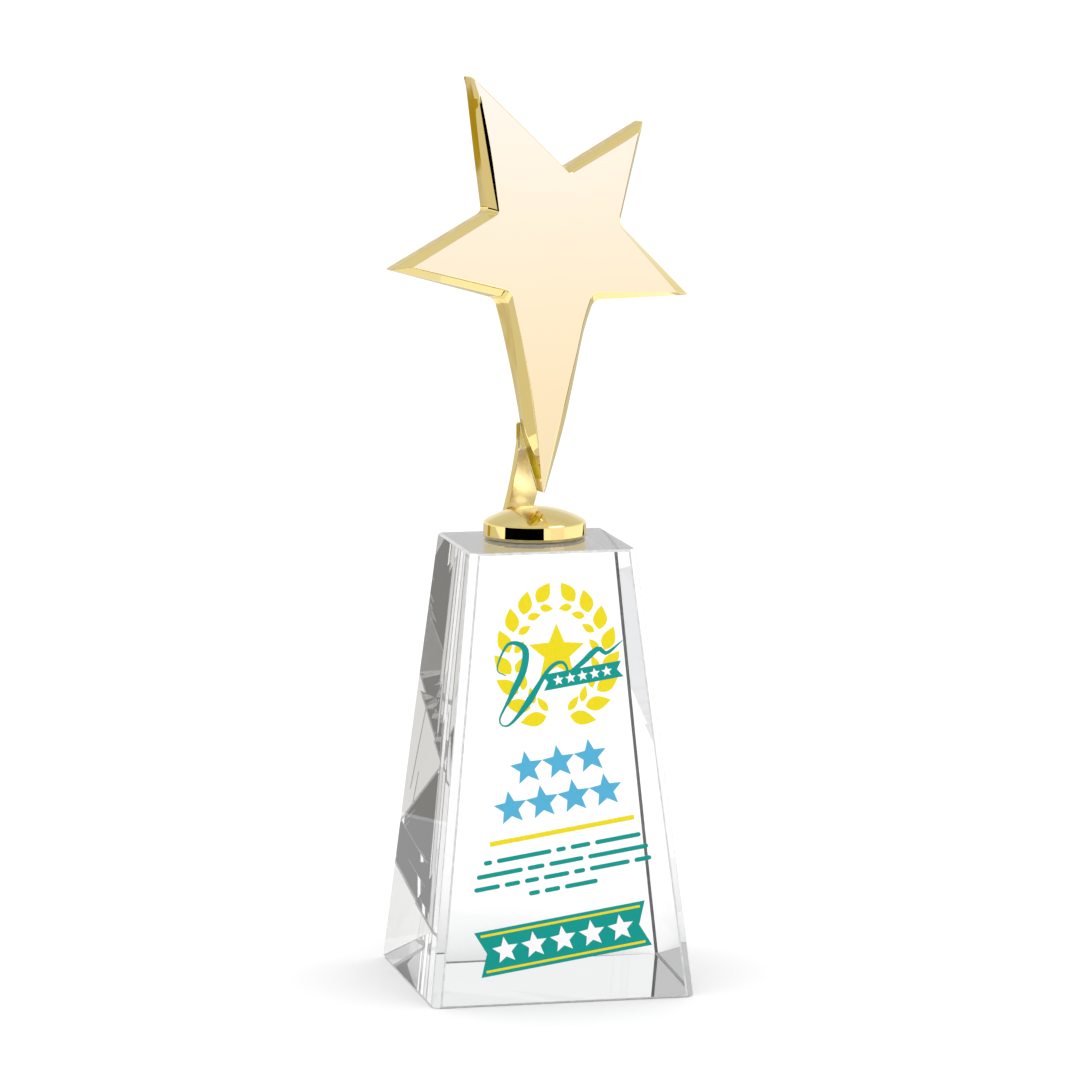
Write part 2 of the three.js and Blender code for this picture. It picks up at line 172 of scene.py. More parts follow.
class Look:
    """A Principled material with procedural texture nodes."""

    def __init__(self, name, **constants):
        self.material = bpy.data.materials.new(name)
        self.material.use_nodes = True
        self.tree = self.material.node_tree
        self.shader = self.tree.nodes["Principled BSDF"]
        for key, value in constants.items():
            self.shader.inputs[key.replace("_", " ")].default_value = value
        self.coords = self.tree.nodes.new("ShaderNodeTexCoord")

    def noise(self, scale, detail, stretch=(1, 1, 1)):
        mapping = self.tree.nodes.new("ShaderNodeMapping")
        mapping.inputs["Scale"].default_value = stretch
        noise = self.tree.nodes.new("ShaderNodeTexNoise")
        noise.inputs["Scale"].default_value = scale
        noise.inputs["Detail"].default_value = detail
        self.tree.links.new(self.coords.outputs["Object"], mapping.inputs["Vector"])
        self.tree.links.new(mapping.outputs["Vector"], noise.inputs["Vector"])
        return noise.outputs["Fac"]

    def spread(self, factor, low, high, socket):
        """The factor, mapped from 0..1 to low..high, into a shader socket."""
        node = self.tree.nodes.new("ShaderNodeMapRange")
        node.inputs["To Min"].default_value = low
        node.inputs["To Max"].default_value = high
        self.tree.links.new(factor, node.inputs["Value"])
        self.tree.links.new(node.outputs["Result"], self.shader.inputs[socket])

    def tint(self, factor, low, high):
        """Mottles the base colour between two colours."""
        ramp = self.tree.nodes.new("ShaderNodeValToRGB")
        ramp.color_ramp.elements[0].color = (*low, 1)
        ramp.color_ramp.elements[1].color = (*high, 1)
        ramp.color_ramp.elements[0].position = 0.35
        ramp.color_ramp.elements[1].position = 0.65
        self.tree.links.new(factor, ramp.inputs["Fac"])
        self.tree.links.new(ramp.outputs["Color"], self.shader.inputs["Base Color"])

    def bump(self, factor, strength, distance):
        node = self.tree.nodes.new("ShaderNodeBump")
        node.inputs["Strength"].default_value = strength
        node.inputs["Distance"].default_value = distance
        self.tree.links.new(factor, node.inputs["Height"])
        self.tree.links.new(node.outputs["Normal"], self.shader.inputs["Normal"])


def gold_look():
    look = Look("gold_plate", Metallic=1.0)
    look.tint(look.noise(60, 2), (1.0, 0.80, 0.325), (1.0, 0.815, 0.34))
    look.spread(look.noise(900, 4), 0.015, 0.04, "Roughness")
    return look.material


def gold_wall_look():
    """The gold on the star's sides, which keeps faint lines from its mould."""
    look = Look("gold_plate_side", Metallic=1.0)
    look.tint(look.noise(420, 4, (1, 1, 0.05)), (0.84, 0.64, 0.24), (1.0, 0.82, 0.37))
    look.spread(look.noise(900, 4), 0.03, 0.08, "Roughness")
    look.bump(look.noise(260, 2, (1, 1, 0.04)), 0.25, 0.0002)
    return look.material


def gold_face_painted_highlight_look():
    """The front of the star, a paler gold than the rest, chosen to match the photo. The paleness is
    a painted highlight.
    """
    look = Look("gold_plate_face_painted_highlight", Metallic=1.0)
    look.tint(look.noise(16, 3), (1.0, 0.895, 0.64), (1.0, 0.905, 0.66))
    look.spread(look.noise(60, 3), 0.015, 0.04, "Roughness")
    return look.material


def gold_painted_reflection_look():
    """The star's edge beside the support, painted deep yellow: a painted reflection of the gold
    support in the gold edge.
    """
    look = Look("gold_plate_painted_reflection", Metallic=1.0)
    look.tint(look.noise(420, 4, (1, 1, 0.05)), (0.56, 0.4, 0.004), (0.72, 0.54, 0.012))
    look.spread(look.noise(140, 3), 0.2, 0.3, "Roughness")
    return look.material


def gold_satin_painted_highlight_look():
    """The support's hollow front: duller and nearly neutral, to offset the yellow it reflects. The
    nearly neutral colour is a painted highlight; the dullness is its roughness.
    """
    look = Look("gold_plate_satin_painted_highlight", Metallic=1.0)
    look.tint(look.noise(60, 3), (0.86, 0.85, 0.85), (0.95, 0.95, 0.98))
    look.spread(look.noise(200, 3), 0.3, 0.38, "Roughness")
    return look.material


def steel_look():
    look = Look("zinc_plated_steel", Metallic=1.0)
    look.tint(look.noise(300, 3), (0.5, 0.51, 0.53), (0.6, 0.61, 0.63))
    look.spread(look.noise(1500, 4), 0.25, 0.4, "Roughness")
    look.bump(look.noise(2500, 3), 0.15, 0.00002)
    return look.material


def crystal_look():
    look = Look("optical_crystal", Transmission_Weight=1.0, IOR=1.52, Roughness=0.0)
    look.tint(look.noise(12, 1), (0.985, 0.992, 0.995), (0.995, 0.998, 1.0))
    return look.material


def edge_painted_line_look(name, shade):
    """A narrow ground edge, opaque grey so that it reads as a line, where a real one is clear. The
    grey is painted shade: the line that refraction draws along a clear edge.
    """
    look = Look(name)
    grain = look.noise(600, 3)
    look.tint(grain, (shade * 0.85,) * 3, (shade * 1.1,) * 3)
    look.spread(grain, 0.3, 0.5, "Roughness")
    look.shader.inputs["Specular IOR Level"].default_value = 0.3
    return look.material


def glue_look():
    look = Look("clear_adhesive", Transmission_Weight=0.9, IOR=1.48)
    look.tint(look.noise(200, 2), (0.95, 0.97, 0.96), (1.0, 1.0, 1.0))
    look.spread(look.noise(700, 2), 0.05, 0.15, "Roughness")
    return look.material


def ink_look(name, colour):
    look = Look(name)
    darker = tuple(c * 0.95 for c in colour)
    look.tint(look.noise(1800, 3), darker, colour)
    look.spread(look.noise(900, 2), 0.5, 0.65, "Roughness")
    look.shader.inputs["Specular IOR Level"].default_value = 0.15
    return look.material


gold = gold_look()
gold_wall = gold_wall_look()
gold_satin_painted_highlight = gold_satin_painted_highlight_look()
gold_face_painted_highlight = gold_face_painted_highlight_look()
gold_painted_reflection = gold_painted_reflection_look()
crystal_painted_line = edge_painted_line_look("crystal_arris_painted_line", 0.62)
crystal_painted_dark_line = edge_painted_line_look("crystal_rear_edge_painted_dark_line", 0.24)
steel = steel_look()
crystal = crystal_look()
glue = glue_look()
yellow = ink_look("yellow_ink", (0.8, 0.66, 0.008))
teal = ink_look("teal_ink", (0.0, 0.29, 0.25))
blue = ink_look("blue_ink", (0.085, 0.41, 0.63))
white = ink_look("white_ink", (0.9, 0.9, 0.9))


def show(obj, material, slot, *nodes):
    """Puts a piece on the one body, with its finishes and the CAD nodes it replaces. The slot is
    not used.

    Faces keep the index of their finish."""
    finishes = material if isinstance(material, list) else [material]
    kinds = [face.material_index for face in obj.data.polygons]
    obj.data.materials.clear()
    for finish in finishes:
        obj.data.materials.append(finish)
    for face, kind in zip(obj.data.polygons, kinds):
        face.material_index = min(kind, len(finishes) - 1)
    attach(obj, "root")
    if nodes:
        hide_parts(*nodes)


# ------------------------------------------------------------------ crystal pillar

CLEAR, EDGE, REAR_EDGE = 0, 1, 2    # finishes of the pillar, in the order of its materials; the two edge finishes are painted shade lines
REACH = 400                         # a plane starts as a square that reaches this far each way
WELD, SLIVER = 0.012, 0.005         # corners this close are one, edges this short go


def clipped(polygon, point, normal):
    """The part of a convex polygon that lies behind a plane."""
    kept = []
    for a, b in zip(polygon, polygon[1:] + polygon[:1]):
        da, db = (a - point).dot(normal), (b - point).dot(normal)
        if da <= 0:
            kept.append(a)
        if da * db < 0:
            kept.append(a.lerp(b, da / (da - db)))
    return kept


def solid_behind(planes):
    """The convex body behind every plane, each given as a point, an outward normal and a finish."""
    bm = bmesh.new()
    for i, (point, normal, finish) in enumerate(planes):
        across = normal.orthogonal().normalized() * REACH
        up = normal.cross(across)
        polygon = [point + across + up, point - across + up, point - across - up,
                   point + across - up]
        for j, (other, outward, _) in enumerate(planes):
            if j != i:
                polygon = clipped(polygon, other, outward)
        if len(polygon) > 2:
            bm.faces.new([bm.verts.new(p) for p in polygon]).material_index = finish
    bmesh.ops.remove_doubles(bm, verts=bm.verts, dist=WELD)
    bmesh.ops.dissolve_degenerate(bm, edges=bm.edges, dist=SLIVER)
    bmesh.ops.holes_fill(bm, edges=bm.edges, sides=0)
    bm.normal_update()
    return bm


def crystal_pillar():
    """The tapered block with five rear facets, cut by planes so that the mesh is closed."""

    def half(size, z):
        return (BASE[size] + (TOP[size] - BASE[size]) * z / HEIGHT) / 2

    def corner(sx, sy, z):
        return Vector((sx * half(0, z), sy * half(1, z), z))

    side_slope = (BASE[0] - TOP[0]) / 2 / HEIGHT
    front_slope = (BASE[1] - TOP[1]) / 2 / HEIGHT
    left = Vector((-1, 0, side_slope)).normalized()
    right = Vector((1, 0, side_slope)).normalized()
    front = Vector((0, -1, front_slope)).normalized()
    back = Vector((0, 1, front_slope)).normalized()
    up, down = Vector((0, 0, 1)), Vector((0, 0, -1))
    planes = [(corner(-1, -1, 0), left, CLEAR), (corner(1, -1, 0), right, CLEAR),
              (corner(1, -1, 0), front, CLEAR), (Vector((0, 0, HEIGHT)), up, CLEAR),
              (Vector((0, 0, 0)), down, CLEAR)]

    # Each facet is a depth at the foot and a slope, and every line turns the slope a little.
    lines = []
    for at_left, at_right in FACET_LINES:
        start = Vector((-half(0, at_left), at_left))
        end = Vector((half(0, at_right), at_right))
        along = (end - start).normalized()
        below = Vector((along.y, -along.x))
        lines.append((below, -below.dot(start)))
    turn_at_foot = sum(offset * FACET_TILT for below, offset in lines)
    slope = Vector((0, -front_slope - turn_at_foot / HEIGHT))
    depth = half(1, 0) + turn_at_foot
    facets = [(depth, slope.copy())]
    for below, offset in lines:
        slope -= below * FACET_TILT
        depth -= FACET_TILT * offset
        facets.append((depth, slope.copy()))
    facet_normals = [Vector((-s.x, 1, -s.y)).normalized() for _, s in facets]
    for (at_foot, _), normal in zip(facets, facet_normals):
        planes.append((Vector((0, at_foot, 0)), normal, CLEAR))

    def chamfer(point, a, b, leg, finish=EDGE):
        """Cuts the edge between two faces, at a point on it; the leg is along each face."""
        normal = (a + b).normalized()
        planes.append((point - normal * leg * math.sqrt(0.5), normal, finish))
        return normal

    # Every cut edge except the wide front chamfers takes a painted shade line; the right rear ones
    # take the dark one.
    for sx, side in ((-1, left), (1, right)):
        wide = chamfer(corner(sx, -1, 0), side, front, FRONT_CHAMFER, CLEAR)
        chamfer(corner(sx, -1, 0) + Vector((0, FRONT_CHAMFER, 0)), side, wide, ARRIS)
        chamfer(corner(sx, -1, 0) - Vector((sx * FRONT_CHAMFER, 0, 0)), front, wide, ARRIS)
        x = sx * half(0, 0)
        for (at_foot, tilt), normal in list(zip(facets, facet_normals))[::2]:
            chamfer(Vector((x, at_foot + tilt.x * x, 0)), side, normal, REAR_CHAMFER,
                    REAR_EDGE if sx > 0 else EDGE)
    for z, cap in ((HEIGHT, up), (0.0, down)):
        for sx, sy, side in ((-1, -1, left), (1, 1, right), (-1, -1, front), (1, 1, back)):
            hidden = z == 0.0 and side is back
            chamfer(corner(sx, sy, z), side, cap, ARRIS if hidden else RIM_CHAMFER)
    bm = solid_behind(planes)
    return mesh_object("crystal_pillar", bm, smooth=False)


show(crystal_pillar(), [crystal, crystal_painted_line, crystal_painted_dark_line], "crystal", "crystal_base")


# ------------------------------------------------------------------ star

# Corners of the three outlines, as [right, height above the crystal], clockwise from the top
# point, with the rounding of each and the extra points on the side that follows it.
STAR_OUTLINES = {
    "face": [
        ((-25.7, 156.2), 0.5, []),
        ((9.8, 123.6), 1.2, []),
        ((35.6, 136.5), 1.0, []),
        ((28.0, 106.0), 2.6, []),
        ((50.4, 81.8), 0.9, []),
        ((18.2, 83.0), 2.2, [(14.9, 73.7), (12.7, 64.4), (9.4, 52.3)]),
        ((-0.2, 16.0), 0.5, [(-1.6, 28.0), (-4.6, 49.4), (-8.0, 66.5)]),
        ((-12.2, 84.8), 2.2, []),
        ((-48.7, 94.4), 0.9, []),
        ((-16.8, 111.1), 1.4, [(-20.1, 130.0)]),
    ],
    "fold": [
        ((-25.2, 157.0), 0.6, []),
        ((9.7, 125.0), 1.6, []),
        ((39.5, 140.4), 1.4, []),
        ((30.4, 105.7), 2.8, []),
        ((56.8, 80.3), 0.9, []),
        ((20.6, 80.2), 3.0, [(16.6, 68.4), (12.9, 52.0), (8.9, 36.0)]),
        ((2.2, 15.2), 0.6, [(1.0, 22.0), (-2.4, 30.3), (-5.6, 38.0), (-7.2, 52.0), (-9.4, 70.0)]),
        ((-11.6, 82.2), 2.6, []),
        ((-55.0, 93.3), 0.9, []),
        ((-19.1, 111.6), 1.8, [(-21.9, 132.0)]),
    ],
    "back": [
        ((-25.3, 157.0), 0.5, []),
        ((9.7, 124.9), 1.6, []),
        ((39.6, 140.4), 1.4, []),
        ((30.3, 105.5), 2.8, []),
        ((56.7, 80.3), 0.9, []),
        ((20.2, 80.3), 3.0, [(16.6, 68.4), (12.9, 52.0), (8.9, 36.0)]),
        ((2.2, 15.2), 0.6, [(-3.3, 33.0), (-7.0, 51.6), (-11.2, 70.0)]),
        ((-14.4, 81.8), 2.6, []),
        ((-54.8, 93.3), 0.9, []),
        ((-19.4, 111.3), 1.8, [(-22.2, 132.0)]),
    ],
}


RING_BEND, RING_SIDE = 6, 14    # steps round a corner, points between two corners


def star_ring(corners):
    """Every outline is resampled in the same way, so that the rings match point for point."""
    count = len(corners)
    pieces = []
    for i, (at, rounding, extra) in enumerate(corners):
        here = Vector(at)
        before = corners[i - 1]
        last = Vector(before[2][-1]) if before[2] else Vector(before[0])
        after = Vector(extra[0]) if extra else Vector(corners[(i + 1) % count][0])
        start = here + (last - here).normalized() * rounding
        end = here + (after - here).normalized() * rounding
        pieces.append((quad_bezier(start, here, end, RING_BEND), [Vector(p) for p in extra]))
    ring = []
    for i, (bend, extra) in enumerate(pieces):
        following = pieces[(i + 1) % count][0][0]
        ring += bend
        ring += spline([bend[-1]] + extra + [following], RING_SIDE)[1:-1]
    return ring


# How far the edge of the front face is rounded at the start and the end of each side, clockwise
# from the top point.
STAR_FACE_ROUND = [(0.45, 0.45), (0.9, 1.5), (0.5, 0.5), (0.4, 0.4), (0.5, 0.5),
                   (0.5, 0.3), (0.3, 0.6), (0.6, 0.5), (0.75, 0.4), (0.5, 1.5)]
STAR_OTHER_ROUND = 0.4                          # of the fold and of the back's edge
FACE_BEND, FOLD_BEND, BACK_BEND = 6, 5, 3       # steps across each of the three roundings
LEFT_OF_TOP = 9                                 # the side from the left notch up to the top
SIDE, FRONT, PAINTED_REFLECTION = 1, 2, 3                     # finishes of the star, after plain gold: side, painted highlight on the front, painted reflection beside the support
SUPPORT_RIGHT, SUPPORT_TOP = 1.5, 41            # the edge left of and below these gets the painted reflection of the support


def star():
    """A skin from the front face over the fold to the back, with all three edges rounded."""
    rings = {name: star_ring(corners) for name, corners in STAR_OUTLINES.items()}
    depths = {"face": STAR_FACE, "fold": STAR_FOLD, "back": STAR_BACK}
    tips = [Vector(corner[0]) for corner in STAR_OUTLINES["face"][::2]]

    def at(name, i):
        return Vector((rings[name][i].x, depths[name], rings[name][i].y))

    per_corner = RING_BEND + 1 + RING_SIDE
    columns = []
    for i in range(len(rings["face"])):
        face, fold, back = at("face", i), at("fold", i), at("back", i)
        corner, along = divmod(i, per_corner)
        first, last = STAR_FACE_ROUND[corner]
        if along <= RING_BEND:
            blend = along / RING_BEND
            size = STAR_FACE_ROUND[corner - 1][1] * (1 - blend) + first * blend
        else:
            blend = (along - RING_BEND) / (RING_SIDE + 1)
            if last > 2 * first:                # a rounding that grows a lot grows early
                blend = min(1.0, blend * 2)
            size = first * (1 - blend) + last * blend
        away = min((rings["face"][i] - tip).length for tip in tips)
        size = min(size, 0.1 + 0.27 * away)     # a tip has no room for the full rounding
        inward = Vector((face.x - fold.x, 0, face.z - fold.z)).normalized()
        if corner == LEFT_OF_TOP and along > RING_BEND:
            # The rounding runs square to the edge here, and near the tip turns to the fold.
            run = at("face", (i + 1) % len(rings["face"])) - at("face", i - 1)
            square = Vector((run.z, 0, -run.x)).normalized()
            share = min(1.0, away / 8)
            inward = (square * share + inward * (1 - share)).normalized()
            size = min(size, 0.1 + 0.2 * away)
        toward_fold = (fold - face).normalized()
        column = quad_bezier(face + inward * size, face, face + toward_fold * size, FACE_BEND)
        up_side = fold + (face - fold).normalized() * STAR_OTHER_ROUND
        down_side = fold + (back - fold).normalized() * STAR_OTHER_ROUND
        column += quad_bezier(up_side, fold, down_side, FOLD_BEND)
        toward_front = back + (fold - back).normalized() * STAR_OTHER_ROUND
        column += quad_bezier(toward_front, back, back + inward * STAR_OTHER_ROUND, BACK_BEND)
        columns.append(column)
    bm = bmesh.new()
    rows = loft(bm, [[c[k] for c in columns] for k in range(len(columns[0]))])
    wall = FACE_BEND + 1 + FOLD_BEND
    wall_rows, front_rows = set(rows[wall] + rows[wall + 1]), set(rows[0] + rows[1] + rows[2])
    for face in bm.faces:
        if all(v in wall_rows for v in face.verts):
            middle = face.calc_center_median()
            # Beside the support the wall takes the deep yellow, a painted reflection of the
            # support.
            beside_support = middle.x < SUPPORT_RIGHT and middle.z < SUPPORT_TOP
            face.material_index = PAINTED_REFLECTION if beside_support else SIDE
        elif all(v in front_rows for v in face.verts):
            # The front face takes the pale gold, a painted highlight.
            face.material_index = FRONT
    return weighted(mesh_object("star", bm, FIGURE))


show(star(), [gold, gold_wall, gold_face_painted_highlight, gold_painted_reflection], "gold_plate", "star")


# ------------------------------------------------------------------ collar

COLLAR = 17.6                   # radius
ROUND = 48                      # sides of a hole
SLOT = ((-5.3, 10.9, 4.0), (5.3, 15.4, 12.0))       # two corners, where the support comes out


def dome_profile():
    """The collar's half section from the boss inside, round the foot and up over the dome. Its
    rim leans in a quarter of a millimetre."""
    low, rim, apex, wall = 0.2, 5.7, 10.7, 1.4
    big = (COLLAR ** 2 + (apex - rim) ** 2) / (2 * (apex - rim))
    centre = apex - big
    inner = big - wall
    edge = math.degrees(math.asin(COLLAR / big))
    profile = [(0.0, 9.25), (1.7, 9.25), (1.7, 6.3), (4.5, 6.3)]
    start = math.degrees(math.acos(4.5 / inner))
    end = math.degrees(math.acos((COLLAR - wall) / inner))
    profile += arc(0, centre, inner, inner, start, end, 8)
    profile += [(COLLAR - wall, low)]
    profile += arc(COLLAR - 1.0, low + 1.2, 1.0, 1.2, -90, 0, 10)
    profile += [(COLLAR - 0.22, rim - 0.6)]
    shoulder = 90 - edge + 1.6
    touch = Vector(arc(0, centre, big, big, shoulder, shoulder, 1)[0])
    bend = quad_bezier(Vector((COLLAR - 0.23, rim - 0.45)), Vector((COLLAR - 0.25, rim)), touch, 5)
    profile += [tuple(p) for p in bend]
    profile += arc(0, centre, big, big, shoulder, 90, 30)[1:-1]
    profile += [(0.0, apex)]
    return profile


def cutter(name, bm):
    """An unseen solid to cut with."""
    obj = mesh_object(name, bm, FIGURE)
    obj.hide_render = True
    obj.hide_viewport = True
    return obj


def cut(obj, *cutters):
    """Subtracts the cutters and removes them."""
    for other in cutters:
        mod = obj.modifiers.new("cut", "BOOLEAN")
        mod.operation = "DIFFERENCE"
        mod.solver = "EXACT"
        mod.object = other
    bpy.context.view_layer.update()
    shown = obj.evaluated_get(bpy.context.evaluated_depsgraph_get())
    mesh = bpy.data.meshes.new_from_object(shown)
    obj.modifiers.clear()
    obj.data = mesh
    for other in cutters:
        bpy.data.objects.remove(other)
    return obj


def block(low, high):
    """A box between two corners."""
    bm = bmesh.new()
    bmesh.ops.create_cube(bm, size=1.0)
    size = [b - a for a, b in zip(low, high)]
    bmesh.ops.scale(bm, vec=size, verts=bm.verts)
    bmesh.ops.translate(bm, vec=[(a + b) / 2 for a, b in zip(low, high)], verts=bm.verts)
    return bm


def rod(radius, x, up, start, end, tip=None):
    """A round bar along Y in the figure's own frame, or a cone if its tip differs."""
    bm = bmesh.new()
    tip = radius if tip is None else tip
    lathe(bm, [(0, start), (radius, start), (tip, end), (0, end)], ROUND)
    bmesh.ops.rotate(bm, matrix=Matrix.Rotation(-math.pi / 2, 3, "X"), verts=bm.verts)
    bmesh.ops.translate(bm, vec=(x, 0, up), verts=bm.verts)
    return bm


def dome():
    bm = bmesh.new()
    lathe(bm, dome_profile(), 160)
    obj = mesh_object("dome_collar", bm, FIGURE)
    slot = cutter("slot", block(*SLOT))
    return weighted(cut(obj, slot))


show(dome(), gold, "gold_plate", "dome_collar")


# ------------------------------------------------------------------ curved support

STRAP_HALF_WIDTH = 5.1
STRAP_EDGE_ROUND = 0.35
STRAP_EDGE_STEPS = 4
SATIN_PAINTED_HIGHLIGHT = 1                       # the second finish of the support, a painted highlight on its hollow front
# The two curves of the side view, as [depth, height above the crystal].
STRAP_FRONT = [(12.1, 7.2), (9.3, 11.7), (6.2, 18.6), (3.3, 26.2), (1.85, 30.6)]
STRAP_REAR = [(4.05, 32.6), (6.6, 25.1), (9.5, 18.2), (13.0, 11.0), (15.2, 7.0)]


def inset(outline, amount):
    """A closed outline, turning anticlockwise, moved inwards."""
    out = []
    for i, p in enumerate(outline):
        a = (p - outline[i - 1]).normalized()
        b = (outline[(i + 1) % len(outline)] - p).normalized()
        na, nb = Vector((-a.y, a.x)), Vector((-b.y, b.x))
        middle = (na + nb).normalized()
        out.append(p + middle * amount / max(0.5, middle.dot(na)))
    return out


def slab(bm, outline):
    """An outline in the figure's side view, as wide as the support, with softened edges."""
    rings = []
    turns = [math.pi / 2 * k / STRAP_EDGE_STEPS for k in range(STRAP_EDGE_STEPS + 1)]
    for side, order in ((-1, turns), (1, list(reversed(turns)))):
        for a in order:
            less = STRAP_EDGE_ROUND * (1 - math.sin(math.pi / 2 - a))
            x = side * (STRAP_HALF_WIDTH - less)
            shrunk = inset(outline, STRAP_EDGE_ROUND * (1 - math.cos(math.pi / 2 - a)))
            rings.append([Vector((x, p.x, p.y)) for p in shrunk])
    loft(bm, rings)


def strap():
    """The support: a curved bar on a flat foot inside the collar, with its three screw cuts."""
    foot_low, foot_high, foot_front, foot_rear = 4.4, 6.3, -4.6, 15.2
    top, top_front, top_rear, front_round, rear_round = 39.3, 1.85, 4.05, 0.4, 1.2
    front = spline([Vector(p) for p in STRAP_FRONT], 22)
    rear = spline([Vector(p) for p in STRAP_REAR], 22)
    outline = [Vector((foot_front, foot_low)), Vector((foot_rear, foot_low))]
    outline += list(reversed(rear))
    outline += [Vector(p) for p in arc(top_rear - rear_round, top - rear_round, rear_round,
                                       rear_round, 0, 90, 8)]
    outline += [Vector(p) for p in arc(top_front + front_round, top - front_round, front_round,
                                       front_round, 90, 180, 4)]
    outline += list(reversed(front))
    outline += [Vector((front[0].x, foot_high)), Vector((foot_front, foot_high))]
    bm = bmesh.new()
    slab(bm, outline)
    bm.normal_update()
    for face in bm.faces:
        across = [v.co.x for v in face.verts]
        wide = max(across) - min(across) > STRAP_HALF_WIDTH
        if wide and face.normal.y < -0.5 and face.calc_center_median().z > foot_high:
            # The hollow front takes the nearly neutral gold, a painted highlight.
            face.material_index = SATIN_PAINTED_HIGHLIGHT
    obj = mesh_object("support_strap", bm, FIGURE)
    obj.data.materials.append(gold)
    obj.data.materials.append(gold_satin_painted_highlight)
    clearance, screw_x, screw_up = 1.7, 1.0, 35.9
    hole = cutter("hole", rod(clearance, screw_x, screw_up, 0.8, 5.0))
    sink = cutter("sink", rod(1.6, screw_x, screw_up, 2.3, 4.15, 2.95))
    foot = bmesh.new()
    lathe(foot, [(0, 3.5), (clearance, 3.5), (clearance, 7.3), (0, 7.3)], ROUND)
    return weighted(cut(obj, hole, sink, cutter("foot_hole", foot)))


show(strap(), [gold, gold_satin_painted_highlight], "gold_plate", "support_strap")

# The hidden pieces keep their CAD meshes and only take a material.
for finish, nodes in ((steel, ("bond_plate", "foot_screw", "foot_spring_washer",
                               "foot_flat_washer", "star_screw", "star_pin")),
                      (glue, ("adhesive_layer",))):
    for node in nodes:
        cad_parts[node].data.materials.clear()
        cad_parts[node].data.materials.append(finish)


# ------------------------------------------------------------------ printed picture

# The picture is laid out in millimetres on the front face: across from its middle line, and up
# the slope from its lower edge. Most of it climbs to the right at this angle.
SLANT = math.radians(8.3)
FACE_ORIGIN = Vector((0, -BASE[1] / 2, 0))
FACE_UP = Vector((0, (BASE[1] - TOP[1]) / 2, HEIGHT)).normalized()
FACE_OUT = Vector((0, -HEIGHT, (BASE[1] - TOP[1]) / 2)).normalized()
INK = 0.03                      # thickness
INK_GAP = 0.02                  # between the ink and the crystal
STAR_WAIST = 0.45               # a printed star's inner radius, as a share of its outer one
WREATH_NODES, WREATH_START, WREATH_STEP = 8, -76, 20.5      # degrees
WREATH_LEAVES = ((0.9, -0.5, 9.2, 4.8), (-0.9, 0.62, 6.0, 2.6))     # out, turn, length, width


def turned(points, angle, centre):
    """Points turned about the origin and moved to a centre."""
    c, s = math.cos(angle), math.sin(angle)
    cx, cy = centre
    return [(cx + c * x - s * y, cy + s * x + c * y) for x, y in points]


def star_shape(centre, radius, angle=0.0):
    points = []
    for k in range(10):
        a = math.pi / 2 + angle + math.pi * k / 5
        r = radius if k % 2 == 0 else radius * STAR_WAIST
        points.append((centre[0] + r * math.cos(a), centre[1] + r * math.sin(a)))
    return points


def bar(start, end, thickness, round_ends=True):
    """A thick line."""
    a, b = Vector(start), Vector(end)
    along = (b - a).normalized()
    across = Vector((-along.y, along.x)) * thickness / 2
    if not round_ends:
        return [tuple(p) for p in (a - across, b - across, b + across, a + across)]
    points = []
    for centre, begin in ((b, -90), (a, 90)):
        turn = math.atan2(along.y, along.x)
        for k in range(7):
            t = math.radians(begin + 30 * k) + turn
            points.append((centre.x + math.cos(t) * thickness / 2,
                           centre.y + math.sin(t) * thickness / 2))
    return points


def leaf(base, angle, length, width):
    points = []
    for k in range(9):
        t = k / 8
        points.append((length * t, width / 2 * math.sin(math.pi * t ** 0.8)))
    for k in range(7, 0, -1):
        t = k / 8
        points.append((length * t, -width / 2 * math.sin(math.pi * t ** 0.8)))
    return turned(points, angle, base)


def stroke(points, widths):
    """The left and right edges of a flowing line of changing width."""
    line = spline([Vector(p) for p in points], 90)
    left, right = [], []
    for i, p in enumerate(line):
        ahead = line[min(i + 1, len(line) - 1)] - line[max(i - 1, 0)]
        across = Vector((-ahead.y, ahead.x)).normalized()
        at = i / (len(line) - 1) * (len(widths) - 1)
        k = min(int(at), len(widths) - 2)
        w = (widths[k] * (k + 1 - at) + widths[k + 1] * (at - k)) / 2
        left.append(tuple(p + across * w))
        right.append(tuple(p - across * w))
    return left, right


def on_face(point, height):
    """A point of the picture, lifted off the crystal's front face."""
    return FACE_ORIGIN + Vector((point[0], 0, 0)) + FACE_UP * point[1] + FACE_OUT * height


def printed(name, shapes, layer, material, slot, strips=()):
    """One piece of ink. A strip rises a little along its way, so that it can cross itself."""
    bm = bmesh.new()
    low = INK_GAP + layer * 1.5 * INK
    for shape in shapes:
        loft(bm, [[on_face(p, height) for p in shape] for height in (low, low + INK)])
    for left, right in strips:
        rings = []
        for i, (a, b) in enumerate(zip(left, right)):
            lift = low + 1.4 * INK * i / len(left)
            rings.append([on_face(a, lift), on_face(b, lift), on_face(b, lift + INK),
                          on_face(a, lift + INK)])
        loft(bm, rings)
    show(mesh_object(name, bm, smooth=False), material, slot)


def wreath(centre, radius):
    """Two branches of leaves that meet at the foot: an outer and an inner leaf at each node."""
    shapes = []
    for side in (-1, 1):
        for k in range(WREATH_NODES):
            at = math.radians(WREATH_START + WREATH_STEP * k)
            growth = math.atan2(radius[1] * math.cos(at), -radius[0] * math.sin(at))
            outward = Vector((radius[1] * math.cos(at), radius[0] * math.sin(at))).normalized()
            middle = Vector((radius[0] * math.cos(at), radius[1] * math.sin(at)))
            for shift, spread, long, wide in WREATH_LEAVES:
                base = middle + outward * shift
                angle = growth + spread
                if side < 0:
                    base.x, angle = -base.x, math.pi - angle
                shapes.append(leaf((centre[0] + base.x, centre[1] + base.y), angle,
                                   long - 0.2 * k, wide))
    return shapes


def slanted(centre, points):
    return turned(points, SLANT, centre)


